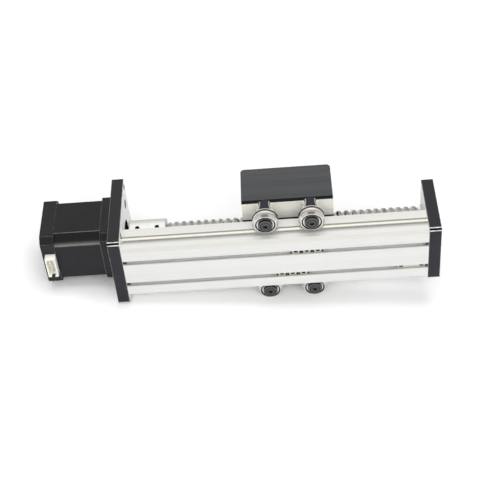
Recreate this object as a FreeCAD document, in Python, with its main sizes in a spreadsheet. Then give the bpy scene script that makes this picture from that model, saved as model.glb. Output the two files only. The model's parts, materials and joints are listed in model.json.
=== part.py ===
import FreeCAD, Part
import os

import Sketcher
from FreeCAD import Placement, Rotation, Vector

# Ball screw linear stage: a stepper motor turns a ball screw, whose nut moves a carriage on four
# grooved rollers along two rods let into an aluminium bed.
# +X runs from the motor to the tail plate and +Z is up.
# The origin is the middle of the bed's underside. Every size is in millimetres.

doc = FreeCAD.newDocument("BallScrewStage")
sheet = doc.addObject("Spreadsheet::Sheet", "Dim")

driving_dimensions = [
    ("base_length", 200.0, "bed, between the end plates"),
    ("base_height", 20.0, "bed, underside to top edge"),
    ("base_edge_chamfer", 2.2, "long lower edges of the bed"),
    ("hollow_diameter", 7.0, "round hollow along the middle of the bed"),
    ("channel_wall", 3.7, "bed's walls beside the channel in its top"),
    ("slot_spacing", 20.0, "between the two T-slots"),
    ("slot_mouth", 3.9, "width of a T-slot's mouth"),
    ("slot_bevel", 0.4, "bevels of a T-slot's mouth"),
    ("slot_lip", 1.6, "thickness of a T-slot's lips"),
    ("nut_width", 7.0, "square slot nut, across flats"),
    ("nut_thickness", 2.6, "square slot nut"),
    ("nut_thread", 3.0, "thread of a slot nut"),
    ("nut_play", 0.4, "room round a slot nut in its slot"),
    ("front_nuts_start", 10.0, "first nut in the front slot, from the middle of the bed"),
    ("rear_nuts_start", 0.0, "first nut in the rear slot, from the middle of the bed"),
    ("stop_length", 1.9, "stops that close the ends of the T-slots"),
    ("bar_length", 18.0, "nut bar in the rear slot"),
    ("bar_hole_pitch", 13.5, "between the nut bar's two holes"),
    ("bar_end_gap", 0.1, "nut bar to its stop"),
    ("rod_diameter", 6.0, "rail rod"),
    ("rod_height", 10.3, "rail rod's axis over the underside"),
    ("rod_proud", 1.2, "how far a rod stands out of the bed's side"),
    ("rod_lip", 0.3, "bevels of the bed along both edges of a rod"),
    ("plate_thickness", 8.0, "both end plates"),
    ("plate_chamfer", 1.6, "lower corners of the end plates"),
    ("mount_hole_diameter", 4.2, "corner holes of the motor plate"),
    ("mount_hole_square", 47.14, "corner holes of the motor plate, side of the square"),
    ("mount_hole_edge", 4.93, "corner hole's centre to the motor plate's sides"),
    ("mount_hole_top", 3.4, "corner hole's centre to the motor plate's top"),
    ("tail_plate_margin", 1.5, "tail plate past the bed's sides"),
    ("tail_plate_over_axis", 12.0, "top of the tail plate over the screw's axis"),
    ("core_wall", 1.7, "bed between a screw core and its rod"),
    ("plate_screw_diameter", 4.0, "shank of an end plate screw"),
    ("plate_screw_depth", 14.0, "end plate screw's length in the bed"),
    ("plate_screw_head", 7.0, "head diameter"),
    ("plate_screw_head_height", 4.0, "head height"),
    ("plate_screw_key", 3.0, "hex socket across flats"),
    ("head_room", 0.4, "counterbores over their screw heads, on the radius and in depth"),
    ("screw_rise", 16.0, "screw's axis over the bed's top edge"),
    ("screw_diameter", 15.5, "over the crests of the thread"),
    ("screw_end_chamfer", 1.0, "ends of the threaded length"),
    ("journal_diameter", 8.0, "both plain ends of the screw"),
    ("shoulder_step", 1.0, "screw's collar against the tail bearing, over the journal"),
    ("shoulder_length", 1.5, "the same collar"),
    ("journal_past_bearing", 1.5, "screw's free end past the tail bearing"),
    ("journal_room", 1.0, "tail plate's hole over the screw's free end, on the radius"),
    ("coupling_diameter", 21.0, "shaft coupling"),
    ("coupling_length", 25.5, "shaft coupling"),
    ("coupling_chamfer", 0.7, "its end edges"),
    ("coupling_gap", 2.2, "motor plate to coupling, and coupling to thread"),
    ("shaft_gap", 1.0, "between the shaft ends in the coupling"),
    ("set_screw_diameter", 3.0, "coupling set screws"),
    ("set_screw_inset", 6.1, "set screws from the coupling's ends"),
    ("set_screw_recess", 2.6, "set screw under the coupling's skin"),
    ("set_screw_turn", 17.0, "degrees by which the coupling is turned at rest"),
    ("motor_bolt_edge", 5.65, "motor screws to the sides of the flange and the rear cap"),
    ("motor_corner", 4.0, "corner chamfers of the flange and the rear cap"),
    ("stator_step", 0.2, "motor stack inside the flange and the rear cap"),
    ("stator_corner", 6.5, "corner chamfers of the stack"),
    ("flange_length", 7.0, "motor flange"),
    ("stator_length", 31.0, "motor stack"),
    ("pilot_diameter", 22.0, "motor pilot"),
    ("pilot_length", 2.0, "motor pilot"),
    ("pilot_play", 0.1, "plate's pilot bore over the pilot, on the radius"),
    ("shaft_diameter", 5.0, "motor shaft"),
    ("shaft_hole_play", 1.5, "flange's shaft hole over the shaft, on the radius"),
    ("rotor_diameter", 26.0, "motor rotor"),
    ("rotor_end_gap", 2.5, "rotor to the ends of the stack"),
    ("air_gap", 0.4, "rotor to stack, on the radius"),
    ("motor_bolt_square", 31.0, "motor screws, side of the square"),
    ("motor_screw_diameter", 3.0, "motor screws' shanks"),
    ("motor_screw_head", 5.5, "motor screws' heads"),
    ("motor_screw_head_height", 3.0, "motor screws' heads"),
    ("motor_screw_key", 2.5, "hex socket across flats"),
    ("motor_screw_bite", 3.2, "mounting screw's length in the motor flange"),
    ("case_screw_bite", 2.8, "case screw's length in the motor flange"),
    ("motor_bearing_diameter", 13.0, "motor bearings"),
    ("motor_bearing_width", 4.0, "motor bearings"),
    ("motor_bearing_land", 1.1, "thickness of their inner rings, on the radius"),
    ("tail_bearing_diameter", 16.0, "tail bearing"),
    ("tail_bearing_width", 5.0, "tail bearing with its flange"),
    ("tail_bearing_land", 1.1, "thickness of its inner ring, on the radius"),
    ("tail_flange_diameter", 18.0, "flange of the tail bearing"),
    ("tail_flange_length", 1.1, "flange of the tail bearing"),
    ("race_wall", 1.2, "thickness of bearing outer rings, on the radius"),
    ("lip_length", 0.5, "shielding lips of the plain bearings"),
    ("shield_gap", 0.3, "shields to inner rings"),
    ("connector_end", 2.05, "outermost pins to the socket's ends"),
    ("connector_width", 6.8, "motor socket along the motor"),
    ("connector_backing", 2.1, "rear cap behind the socket"),
    ("connector_height", 7.0, "motor socket, seat to mouth"),
    ("connector_seat", 2.0, "part of the socket's height that sits in the cap"),
    ("connector_setback", 0.1, "socket to the joint of stack and cap"),
    ("connector_wall", 0.9, "walls of the socket"),
    ("connector_floor", 1.5, "floor of the socket"),
    ("pin_pitch", 2.5, "between the socket's pins"),
    ("pin_width", 0.64, "square pins"),
    ("pin_length", 4.0, "pins over the socket's floor"),
    ("carriage_offset", 10.0, "carriage's middle from the bed's middle, at rest"),
    ("carriage_length", 60.0, "along the travel"),
    ("carriage_roof", 7.0, "carriage over the nut"),
    ("carriage_gap", 4.8, "carriage's underside over the bed's top edge"),
    ("carriage_chamfer", 1.6, "lower side edges of the carriage"),
    ("carriage_corner", 2.8, "rounded upper edges at the carriage's ends"),
    ("stud_edge", 3.8, "roller screws to the carriage's sides"),
    ("stud_depth", 12.0, "roller screw holes in the carriage"),
    ("boss_wall", 2.5, "carriage round the nut, at the sides"),
    ("boss_floor", 3.2, "carriage under the nut"),
    ("boss_gap", 1.0, "nut boss over the channel's floor"),
    ("boss_side_gap", 1.5, "nut boss to the channel's walls"),
    ("table_hole_diameter", 5.0, "holes in the carriage's top"),
    ("table_hole_depth", 10.0, "holes in the carriage's top"),
    ("table_pitch_along", 40.0, "hole to hole along the travel"),
    ("table_pitch_across", 46.0, "hole to hole across the travel"),
    ("lock_screw_diameter", 5.0, "nut lock screws"),
    ("lock_screw_pitch", 24.0, "between the two lock screws"),
    ("lock_screw_recess", 1.0, "lock screws under the carriage's top"),
    ("nut_diameter", 28.0, "ball nut"),
    ("nut_length", 42.0, "ball nut"),
    ("nut_clearance", 0.35, "ball nut and wipers over the thread's crests, on the radius"),
    ("wiper_diameter", 22.0, "wipers in the ends of the nut"),
    ("wiper_length", 3.0, "wipers in the ends of the nut"),
    ("roller_diameter", 17.0, "grooved roller"),
    ("roller_width", 8.0, "grooved roller's outer ring"),
    ("roller_chamfer", 1.3, "grooved roller's outer edges"),
    ("roller_side_gap", 0.4, "roller's rim to the bed's side"),
    ("roller_spacing", 30.0, "between the two rollers of a side"),
    ("groove_clearance", 0.1, "groove round its rod, on the radius"),
    ("roller_wall", 1.0, "outer ring between its groove and its bore"),
    ("shield_thickness", 0.5, "roller shields"),
    ("shield_recess", 0.3, "roller shields under the ring's faces"),
    ("shield_channel", 0.6, "width of the sunk rim by which a shield sits in its ring"),
    ("inner_ring_diameter", 8.2, "roller's inner ring"),
    ("inner_ring_width", 8.0, "roller's inner ring"),
    ("roller_screw_diameter", 5.0, "roller screws"),
    ("roller_screw_play", 0.05, "rings and spacers over the screw, on the radius"),
    ("roller_screw_head", 9.5, "low heads"),
    ("roller_screw_head_height", 1.6, "low heads"),
    ("roller_screw_round", 0.5, "rounded rim of the low heads"),
    ("roller_screw_key", 3.0, "hex socket across flats"),
    ("roller_screw_key_depth", 1.3, "hex socket"),
    ("spacer_foot_diameter", 7.6, "spacer's foot on the inner ring"),
    ("spacer_foot_height", 1.0, "spacer's foot on the inner ring"),
    ("spacer_collar_diameter", 11.0, "spacer's collar, or across the flats of its hexagon"),
    ("spacer_collar_height", 4.0, "spacer's collar or hexagon"),
    ("spacer_diameter", 9.6, "spacer's neck"),
]
for row, (alias, size, note) in enumerate(driving_dimensions, 1):
    sheet.set(f"A{row}", note)
    sheet.set(f"B{row}", str(size))
    sheet.setAlias(f"B{row}", alias)
doc.recompute()

# Places that several pieces share, each worked out from the sheet
half_length = "(Dim.base_length / 2)"
axis_height = "(Dim.base_height + Dim.screw_rise)"
boss_half = "(Dim.nut_diameter / 2 + Dim.boss_wall)"
boss_bottom = f"({axis_height} - Dim.nut_diameter / 2 - Dim.boss_floor)"
channel_floor = f"({boss_bottom} - Dim.boss_gap)"
channel_half = f"({boss_half} + Dim.boss_side_gap)"
base_half = f"({channel_half} + Dim.channel_wall)"
rod_offset = f"({base_half} + Dim.rod_proud - Dim.rod_diameter / 2)"
slot_half = "((Dim.nut_width + Dim.nut_play) / 2)"
slot_top = "(Dim.slot_lip + Dim.nut_thickness + Dim.nut_play)"
core_offset = f"({rod_offset} - (Dim.rod_diameter + Dim.plate_screw_diameter) / 2 - Dim.core_wall)"
core_height = f"(({slot_top} + {channel_floor}) / 2)"
roller_offset = f"({base_half} + Dim.roller_side_gap + Dim.roller_diameter / 2)"
roller_reach = f"({roller_offset} - {rod_offset})"
roller_bore = f"(2 * ({roller_reach} - Dim.rod_diameter / 2 - Dim.groove_clearance - Dim.roller_wall))"
underside = "(Dim.base_height + Dim.carriage_gap)"
carriage_top = f"({axis_height} + Dim.nut_diameter / 2 + Dim.carriage_roof)"
carriage_half = f"({roller_offset} + Dim.stud_edge)"
mount_half = "(Dim.mount_hole_square / 2)"
motor_half = "(Dim.motor_bolt_square / 2 + Dim.motor_bolt_edge)"
connector_half = "(2.5 * Dim.pin_pitch + Dim.connector_end)"
cap_length = "(Dim.connector_setback + Dim.connector_width + Dim.connector_backing)"
nut_bore = "(Dim.screw_diameter + 2 * Dim.nut_clearance)"
motor_face = f"(-{half_length} - Dim.plate_thickness)"
flange_rear = f"({motor_face} - Dim.flange_length)"
stator_rear = f"({flange_rear} - Dim.stator_length)"
motor_rear = f"({stator_rear} - {cap_length})"
coupling_start = f"(-{half_length} + Dim.coupling_gap)"
coupling_middle = f"({coupling_start} + Dim.coupling_length / 2)"
coupling_end = f"({coupling_start} + Dim.coupling_length)"
bearing_start = f"({half_length} - Dim.tail_flange_length)"
bearing_end = f"({bearing_start} + Dim.tail_bearing_width)"
thread_start = f"({coupling_end} + Dim.coupling_gap / 4)"
thread_end = f"({bearing_start} - Dim.shoulder_length)"
motor_hole = "(Dim.motor_screw_diameter + 0.5 * Dim.head_room)"
counterbore = "(Dim.motor_screw_head + 2 * Dim.head_room)"
counterbore_depth = "(Dim.motor_screw_head_height + Dim.head_room)"
plate_counterbore = "(Dim.plate_screw_head + 2 * Dim.head_room)"
plate_counterbore_depth = "(Dim.plate_screw_head_height + Dim.head_room)"
ring_bottom = "(Dim.rod_height - Dim.inner_ring_width / 2)"
ring_top = "(Dim.rod_height + Dim.inner_ring_width / 2)"
ring_bore = "(Dim.roller_screw_diameter + 2 * Dim.roller_screw_play)"
socket_mouth = f"(-{motor_half} + Dim.connector_seat - Dim.connector_height)"
socket_floor = f"(-{motor_half} + Dim.connector_seat - Dim.connector_floor)"
socket_front = f"({stator_rear} - Dim.connector_setback)"
socket_rear = f"({socket_front} - Dim.connector_width)"

parts = []


def value(text):
    return float(sheet.evalExpression(text))


def new_body(label, x="0", y="0", z="0"):
    body = doc.addObject("PartDesign::Body", label)
    body.Label = label
    for letter, text in zip("xyz", (x, y, z)):
        body.setExpression(f"Placement.Base.{letter}", text)
    parts.append(body)
    return body


def new_sketch(body, role, offset="0"):
    plane = next(item for item in body.Origin.OriginFeatures if item.Role == role)
    sketch = body.newObject("Sketcher::SketchObject", f"{body.Name}_sketch")
    sketch.AttachmentSupport = [(plane, "")]
    sketch.MapMode = "FlatFace"
    sketch.setExpression("AttachmentOffset.Base.z", offset)
    return sketch


def pin_point(sketch, geometry, end, x, y):
    for kind, text in (("DistanceX", x), ("DistanceY", y)):
        index = sketch.addConstraint(Sketcher.Constraint(kind, -1, 1, geometry, end, value(text)))
        sketch.setExpression(f"Constraints[{index}]", text)


def draw_polygon(sketch, corners):
    first = sketch.GeometryCount
    count = len(corners)
    points = [Vector(value(x), value(y), 0) for x, y in corners]
    for i in range(count):
        sketch.addGeometry(Part.LineSegment(points[i], points[(i + 1) % count]), False)
    for i in range(count):
        follower = first + (i + 1) % count
        sketch.addConstraint(Sketcher.Constraint("Coincident", first + i, 2, follower, 1))
    for i, (x, y) in enumerate(corners):
        pin_point(sketch, first + i, 1, x, y)


def draw_circles(sketch, centres, diameter):
    for x, y in centres:
        ring = Part.Circle(Vector(value(x), value(y), 0), Vector(0, 0, 1), value(diameter) / 2)
        index = sketch.addGeometry(ring, False)
        pin_point(sketch, index, 3, x, y)
        size = sketch.addConstraint(Sketcher.Constraint("Diameter", index, value(diameter)))
        sketch.setExpression(f"Constraints[{size}]", diameter)


def draw_rectangle(sketch, x0, x1, y0, y1):
    draw_polygon(sketch, [(x0, y0), (x1, y0), (x1, y1), (x0, y1)])


def draw_hexagons(sketch, centres, across_flats):
    for x, y in centres:
        reach = f"({across_flats}) / sqrt(3)"
        draw_polygon(sketch, [
            (f"{x} + {reach} * cos({60 * k}deg)", f"{y} + {reach} * sin({60 * k}deg)") for k in range(6)])


def pad(body, sketch, length, middle=False):
    feature = body.newObject("PartDesign::Pad", f"{body.Name}_pad")
    feature.Profile = sketch
    feature.setExpression("Length", length)
    feature.Midplane = middle
    doc.recompute()


def cut(body, sketch, depth=None, forward=False):
    before = body.Shape.Volume
    feature = body.newObject("PartDesign::Pocket", f"{body.Name}_pocket")
    feature.Profile = sketch
    if depth is None:
        feature.Type = "ThroughAll"
        feature.Midplane = True
    else:
        feature.setExpression("Length", depth)
        feature.Reversed = forward
    doc.recompute()
    if feature.Shape.Volume >= before:
        raise RuntimeError(f"{feature.Name} cut nothing")


def turn(body, sketch, axis, kind="PartDesign::Revolution"):
    feature = body.newObject(kind, f"{body.Name}_turn")
    feature.Profile = sketch
    feature.ReferenceAxis = (sketch, [axis])
    doc.recompute()


def discs(body, role, centres, diameter, start, length, bore=None):
    sketch = new_sketch(body, role, start)
    draw_circles(sketch, centres, diameter)
    if bore:
        draw_circles(sketch, centres, bore)
    pad(body, sketch, length)


def holes(body, role, centres, diameter, start="0", depth=None, forward=False):
    sketch = new_sketch(body, role, start)
    draw_circles(sketch, centres, diameter)
    cut(body, sketch, depth, forward)


def sockets(body, role, centres, across_flats, start, depth, forward=False):
    sketch = new_sketch(body, role, start)
    draw_hexagons(sketch, centres, across_flats)
    cut(body, sketch, depth, forward)


def dress(body, kind, sizing, size, wanted):
    base = body.Tip
    names = [f"Edge{i}" for i, edge in enumerate(base.Shape.Edges, 1) if wanted(edge)]
    feature = body.newObject(kind, f"{body.Name}_dress")
    feature.Base = (base, names)
    feature.setExpression(sizing, size)
    doc.recompute()


def round_edge_at(letter, place):
    def wanted(edge):
        centre = getattr(edge.Curve, "Center", None)
        return centre is not None and abs(getattr(centre, letter) - place) < 1e-4
    return wanted


def four(x, y):
    return [(f"{i}{x}", f"{j}{y}") for i in ("", "-") for j in ("", "-")]


middle = [("0", "0")]
motor_bolts = four("(Dim.motor_bolt_square / 2)", "(Dim.motor_bolt_square / 2)")
core_places = [(core_offset, core_height), (f"-{core_offset}", core_height)]
lock_places = [("Dim.lock_screw_pitch / 2", "0"), ("-Dim.lock_screw_pitch / 2", "0")]
bar_places = [("Dim.bar_hole_pitch / 2", "0"), ("-Dim.bar_hole_pitch / 2", "0")]
roller_places = four("(Dim.roller_spacing / 2)", roller_offset)
front_studs = [place for place in roller_places if place[1].startswith("-")]
rear_studs = [place for place in roller_places if not place[1].startswith("-")]


def make_base_profile():
    body = new_body("base_profile")
    outline = new_sketch(body, "YZ_Plane")
    right = [
        (f"{base_half} - Dim.base_edge_chamfer", "0"),
        (base_half, "Dim.base_edge_chamfer"),
        (base_half, "Dim.base_height"),
        (channel_half, "Dim.base_height"),
        (channel_half, channel_floor),
    ]
    draw_polygon(outline, right + [(f"-({y})", z) for y, z in reversed(right)])
    pad(body, outline, "Dim.base_length", middle=True)
    slots = new_sketch(body, "YZ_Plane")
    for centre in ("(Dim.slot_spacing / 2)", "(-Dim.slot_spacing / 2)"):
        side = [
            ("Dim.slot_mouth / 2 + Dim.slot_bevel", "0"),
            ("Dim.slot_mouth / 2", "Dim.slot_bevel"),
            ("Dim.slot_mouth / 2", "Dim.slot_lip"),
            (slot_half, "Dim.slot_lip"),
            (slot_half, slot_top),
        ]
        draw_polygon(slots, [(f"{centre} + {y}", z) for y, z in side]
                     + [(f"{centre} - {y}", z) for y, z in reversed(side)])
    cut(body, slots)
    holes(body, "YZ_Plane", [(rod_offset, "Dim.rod_height"), (f"-{rod_offset}", "Dim.rod_height")],
          "Dim.rod_diameter")
    side, height = value(base_half), value("Dim.rod_height")
    reach = value("Dim.rod_diameter / 2")
    dress(body, "PartDesign::Chamfer", "Size", "Dim.rod_lip",
          lambda edge: edge.Length > reach and all(
              abs(abs(v.Y) - side) < 1e-4 and abs(v.Z - height) < reach for v in edge.Vertexes))
    holes(body, "YZ_Plane", core_places, "Dim.plate_screw_diameter")
    holes(body, "YZ_Plane", [("0", core_height)], "Dim.hollow_diameter")


def make_rods():
    for label, y in (("rail_rod_front", f"-{rod_offset}"), ("rail_rod_rear", rod_offset)):
        body = new_body(label, y=y, z="Dim.rod_height")
        discs(body, "YZ_Plane", middle, "Dim.rod_diameter", f"-{half_length}", "Dim.base_length")


def make_slot_nuts():
    pitch = "(Dim.nut_width + Dim.nut_play / 2)"
    for label, sign, start in (("slot_nuts_front", "-", "Dim.front_nuts_start"),
                               ("slot_nuts_rear", "", "Dim.rear_nuts_start")):
        body = new_body(label, y=f"{sign}Dim.slot_spacing / 2")
        sketch = new_sketch(body, "XY_Plane", "Dim.slot_lip")
        for k in range(3):
            draw_rectangle(sketch, f"{start} + {k} * {pitch}", f"{start} + {k} * {pitch} + Dim.nut_width",
                           "-Dim.nut_width / 2", "Dim.nut_width / 2")
        pad(body, sketch, "Dim.nut_thickness")
        holes(body, "XY_Plane", [(f"{start} + {k} * {pitch} + Dim.nut_width / 2", "0") for k in range(3)],
              "Dim.nut_thread")
    body = new_body("slot_nut_bar", y="Dim.slot_spacing / 2",
                    x=f"{half_length} - Dim.stop_length - Dim.bar_end_gap - Dim.bar_length / 2")
    sketch = new_sketch(body, "XY_Plane", "Dim.slot_lip")
    draw_rectangle(sketch, "-Dim.bar_length / 2", "Dim.bar_length / 2",
                   "-Dim.nut_width / 2", "Dim.nut_width / 2")
    pad(body, sketch, "Dim.nut_thickness")
    holes(body, "XY_Plane", bar_places, "Dim.nut_thread")


def make_slot_stops():
    body = new_body("slot_stops")
    sketch = new_sketch(body, "XY_Plane", "Dim.slot_lip")
    for centre in ("Dim.slot_spacing / 2", "-Dim.slot_spacing / 2"):
        for start in (f"-{half_length}", f"{half_length} - Dim.stop_length"):
            draw_rectangle(sketch, start, f"{start} + Dim.stop_length",
                           f"{centre} - Dim.nut_width / 2", f"{centre} + Dim.nut_width / 2")
    pad(body, sketch, "Dim.nut_thickness")


def draw_plate(sketch, half, top):
    draw_polygon(sketch, [
        (f"-({half}) + Dim.plate_chamfer", "0"),
        (f"{half} - Dim.plate_chamfer", "0"),
        (half, "Dim.plate_chamfer"),
        (half, top),
        (f"-({half})", top),
        (f"-({half})", "Dim.plate_chamfer"),
    ])


def make_motor_plate():
    body = new_body("motor_plate")
    outline = new_sketch(body, "YZ_Plane", motor_face)
    draw_plate(outline, f"({mount_half} + Dim.mount_hole_edge)",
               f"{axis_height} + {mount_half} + Dim.mount_hole_top")
    pad(body, outline, "Dim.plate_thickness")
    bolts = [(y, f"{axis_height} + {z}") for y, z in motor_bolts]
    holes(body, "YZ_Plane", [("0", axis_height)], "Dim.pilot_diameter + 2 * Dim.pilot_play")
    holes(body, "YZ_Plane", bolts, motor_hole)
    holes(body, "YZ_Plane", bolts, counterbore, f"-{half_length}", counterbore_depth)
    holes(body, "YZ_Plane", core_places, "Dim.plate_screw_diameter")
    holes(body, "YZ_Plane", core_places, plate_counterbore, motor_face, plate_counterbore_depth, True)
    corners = [(y, f"{axis_height} + {z}") for y, z in four(mount_half, mount_half)]
    holes(body, "YZ_Plane", corners, "Dim.mount_hole_diameter")


def make_tail_plate():
    body = new_body("tail_plate")
    outline = new_sketch(body, "YZ_Plane", half_length)
    draw_plate(outline, f"({base_half} + Dim.tail_plate_margin)",
               f"{axis_height} + Dim.tail_plate_over_axis")
    pad(body, outline, "Dim.plate_thickness")
    seat = [("0", axis_height)]
    holes(body, "YZ_Plane", seat, "Dim.journal_diameter + 2 * Dim.journal_room")
    holes(body, "YZ_Plane", seat, "Dim.tail_bearing_diameter", half_length,
          "Dim.tail_bearing_width - Dim.tail_flange_length", True)
    holes(body, "YZ_Plane", core_places, "Dim.plate_screw_diameter")
    holes(body, "YZ_Plane", core_places, plate_counterbore, f"{half_length} + Dim.plate_thickness",
          plate_counterbore_depth)


def make_plate_screws():
    grip = "(Dim.plate_thickness - Dim.plate_screw_head_height - Dim.head_room)"
    shank = f"({grip} + Dim.plate_screw_depth)"
    head = "Dim.plate_screw_head_height"
    body = new_body("motor_plate_screws", x=f"-{half_length} - {grip}")
    discs(body, "YZ_Plane", core_places, "Dim.plate_screw_diameter", "0", shank)
    discs(body, "YZ_Plane", core_places, "Dim.plate_screw_head", f"-{head}", head)
    sockets(body, "YZ_Plane", core_places, "Dim.plate_screw_key", f"-{head}", f"{head} / 2", True)
    body = new_body("tail_plate_screws", x=f"{half_length} + {grip}")
    discs(body, "YZ_Plane", core_places, "Dim.plate_screw_diameter", f"-{shank}", shank)
    discs(body, "YZ_Plane", core_places, "Dim.plate_screw_head", "0", head)
    sockets(body, "YZ_Plane", core_places, "Dim.plate_screw_key", head, f"{head} / 2")


def draw_octagon(sketch, half, corner):
    short = f"({half} - {corner})"
    draw_polygon(sketch, [
        (f"-{half}", f"-{short}"), (f"-{short}", f"-{half}"), (short, f"-{half}"), (half, f"-{short}"),
        (half, short), (short, half), (f"-{short}", half), (f"-{half}", short)])


def make_motor_housing():
    flange = new_body("motor_flange", z=axis_height)
    outline = new_sketch(flange, "YZ_Plane", flange_rear)
    draw_octagon(outline, motor_half, "Dim.motor_corner")
    pad(flange, outline, "Dim.flange_length")
    discs(flange, "YZ_Plane", middle, "Dim.pilot_diameter", motor_face, "Dim.pilot_length")
    holes(flange, "YZ_Plane", middle, "Dim.shaft_diameter + 2 * Dim.shaft_hole_play")
    holes(flange, "YZ_Plane", middle, "Dim.motor_bearing_diameter", flange_rear,
          "Dim.motor_bearing_width", True)
    holes(flange, "YZ_Plane", motor_bolts, "Dim.motor_screw_diameter")

    stator = new_body("motor_stator", z=axis_height)
    outline = new_sketch(stator, "YZ_Plane", stator_rear)
    draw_octagon(outline, f"({motor_half} - Dim.stator_step)", "Dim.stator_corner")
    pad(stator, outline, "Dim.stator_length")
    holes(stator, "YZ_Plane", middle, "Dim.rotor_diameter + 2 * Dim.air_gap")
    holes(stator, "YZ_Plane", motor_bolts, motor_hole)

    cap = new_body("motor_rear_cap", z=axis_height)
    outline = new_sketch(cap, "YZ_Plane", motor_rear)
    draw_octagon(outline, motor_half, "Dim.motor_corner")
    pad(cap, outline, cap_length)
    holes(cap, "YZ_Plane", middle, "Dim.motor_bearing_diameter", stator_rear, "Dim.motor_bearing_width")
    holes(cap, "YZ_Plane", motor_bolts, motor_hole)
    holes(cap, "YZ_Plane", motor_bolts, counterbore, motor_rear, counterbore_depth, True)
    seat = new_sketch(cap, "XY_Plane", f"-{motor_half}")
    draw_rectangle(seat, socket_rear, socket_front, f"-{connector_half}", connector_half)
    cut(cap, seat, "Dim.connector_seat", True)


def make_motor_screws():
    grip = f"(Dim.plate_thickness - {counterbore_depth})"
    body = new_body("motor_mount_screws", x=f"-{half_length} - {counterbore_depth}", z=axis_height)
    discs(body, "YZ_Plane", motor_bolts, "Dim.motor_screw_diameter", f"-{grip} - Dim.motor_screw_bite",
          f"{grip} + Dim.motor_screw_bite")
    discs(body, "YZ_Plane", motor_bolts, "Dim.motor_screw_head", "0", "Dim.motor_screw_head_height")
    sockets(body, "YZ_Plane", motor_bolts, "Dim.motor_screw_key", "Dim.motor_screw_head_height",
            "Dim.motor_screw_head_height / 2")
    grip = f"({cap_length} - {counterbore_depth} + Dim.stator_length)"
    body = new_body("motor_case_screws", x=f"{motor_rear} + {counterbore_depth}", z=axis_height)
    discs(body, "YZ_Plane", motor_bolts, "Dim.motor_screw_diameter", "0", f"{grip} + Dim.case_screw_bite")
    discs(body, "YZ_Plane", motor_bolts, "Dim.motor_screw_head", "-Dim.motor_screw_head_height",
          "Dim.motor_screw_head_height")
    sockets(body, "YZ_Plane", motor_bolts, "Dim.motor_screw_key", "-Dim.motor_screw_head_height",
            "Dim.motor_screw_head_height / 2", True)


def make_bearing_outer(body, start, length, outside, inner_ring):
    race = f"({outside} - 2 * Dim.race_wall)"
    lip = f"({inner_ring} + 2 * Dim.shield_gap)"
    discs(body, "YZ_Plane", middle, outside, start, length, race)
    for place in (start, f"{start} + {length} - Dim.lip_length"):
        discs(body, "YZ_Plane", middle, f"{outside} - Dim.race_wall", place, "Dim.lip_length", lip)


def make_bearings():
    motor_ring = "(Dim.shaft_diameter + 2 * Dim.motor_bearing_land)"
    places = (flange_rear, f"({stator_rear} - Dim.motor_bearing_width)")
    outers = new_body("motor_bearing_outers", z=axis_height)
    inners = new_body("motor_bearing_inners", z=axis_height)
    for place in places:
        make_bearing_outer(outers, place, "Dim.motor_bearing_width", "Dim.motor_bearing_diameter",
                           motor_ring)
        discs(inners, "YZ_Plane", middle, motor_ring, place, "Dim.motor_bearing_width",
              "Dim.shaft_diameter")
    tail_ring = "(Dim.journal_diameter + 2 * Dim.tail_bearing_land)"
    outer = new_body("tail_bearing_outer", z=axis_height)
    make_bearing_outer(outer, bearing_start, "Dim.tail_bearing_width", "Dim.tail_bearing_diameter",
                       tail_ring)
    discs(outer, "YZ_Plane", middle, "Dim.tail_flange_diameter", bearing_start, "Dim.tail_flange_length",
          "Dim.tail_bearing_diameter - Dim.race_wall")
    inner = new_body("tail_bearing_inner", z=axis_height)
    discs(inner, "YZ_Plane", middle, tail_ring, bearing_start, "Dim.tail_bearing_width",
          "Dim.journal_diameter")


def make_connector():
    body = new_body("motor_connector", z=axis_height)
    wall = "Dim.connector_wall"
    block = new_sketch(body, "XY_Plane", socket_mouth)
    draw_rectangle(block, socket_rear, socket_front, f"-{connector_half}", connector_half)
    pad(body, block, "Dim.connector_height")
    cavity = new_sketch(body, "XY_Plane", socket_mouth)
    draw_rectangle(cavity, f"{socket_rear} + {wall}", f"{socket_front} - {wall}",
                   f"-{connector_half} + {wall}", f"{connector_half} - {wall}")
    cut(body, cavity, "Dim.connector_height - Dim.connector_floor", True)
    pins = new_body("connector_pins", x=f"({socket_rear} + {socket_front}) / 2", z=axis_height)
    rows = new_sketch(pins, "XY_Plane", f"{socket_floor} - Dim.pin_length")
    for k in range(6):
        place = f"({k} - 2.5) * Dim.pin_pitch"
        draw_rectangle(rows, "-Dim.pin_width / 2", "Dim.pin_width / 2",
                       f"{place} - Dim.pin_width / 2", f"{place} + Dim.pin_width / 2")
    pad(pins, rows, "Dim.pin_length")


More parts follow.
